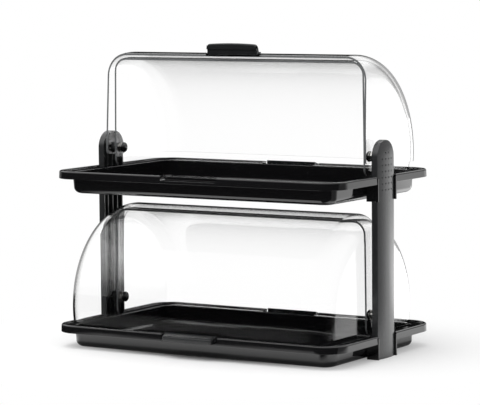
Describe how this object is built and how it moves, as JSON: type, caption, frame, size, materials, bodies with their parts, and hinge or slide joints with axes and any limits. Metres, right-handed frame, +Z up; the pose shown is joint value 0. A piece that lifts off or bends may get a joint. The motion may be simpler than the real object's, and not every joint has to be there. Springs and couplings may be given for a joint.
{
  "type": "roll-top display case",
  "caption": "Two-tier tabletop display case: black trays on side posts, each under clear roll-top shells that turn about a side pivot line.",
  "frame": {"origin": "on the floor plane, under the middle of the overall box", "axes": "+X to the case's right as seen from its front, +Y to its back, +Z up"},
  "size_m": [0.4414, 0.2944, 0.4105],
  "materials": {
    "tray_black": "moulded black plastic, high gloss",
    "post_grey": "moulded dark grey plastic, satin",
    "clear_shell": "clear moulded plastic sheet, polished",
    "handle_black": "moulded dark plastic, satin",
    "knob_black": "moulded black plastic, semi-gloss",
    "steel": "plated steel"
  },
  "bodies": {
    "case": {"lower_tray": "tray_black", "lower_left_saddle": "tray_black", "lower_left_post_bolt": "steel", "lower_left_spacer": "post_grey", "lower_left_middle_washer": "steel", "lower_left_cap_washer": "steel", "lower_left_pivot_knob": "knob_black", "lower_right_saddle": "tray_black", "lower_right_post_bolt": "steel", "lower_right_spacer": "post_grey", "lower_right_middle_washer": "steel", "lower_right_cap_washer": "steel", "lower_right_pivot_knob": "knob_black", "lower_rear_shell": "clear_shell", "lower_rear_handle": "handle_black", "upper_tray": "tray_black", "upper_left_saddle": "tray_black", "upper_left_post_bolt": "steel", "upper_left_spacer": "post_grey", "upper_left_middle_washer": "steel", "upper_left_cap_washer": "steel", "upper_left_pivot_knob": "knob_black", "upper_right_saddle": "tray_black", "upper_right_post_bolt": "steel", "upper_right_spacer": "post_grey", "upper_right_middle_washer": "steel", "upper_right_cap_washer": "steel", "upper_right_pivot_knob": "knob_black", "upper_rear_shell": "clear_shell", "upper_rear_handle": "handle_black", "left_post": "post_grey", "right_post": "post_grey"},
    "lower_lid": {"lower_front_shell": "clear_shell", "lower_front_handle": "handle_black"},
    "upper_lid": {"upper_front_shell": "clear_shell", "upper_front_handle": "handle_black"}
  },
  "joints": [
    {"name": "upper_lid_roll", "type": "hinge", "parent": "case", "child": "upper_lid", "pos_m": [0, 0, 0.262], "axis": [1, 0, 0], "range_deg": [0, 92.5]},
    {"name": "lower_lid_roll", "type": "hinge", "parent": "case", "child": "lower_lid", "pos_m": [0, 0, 0.0545], "axis": [1, 0, 0], "range_deg": [-92.5, 0]}
  ]
}
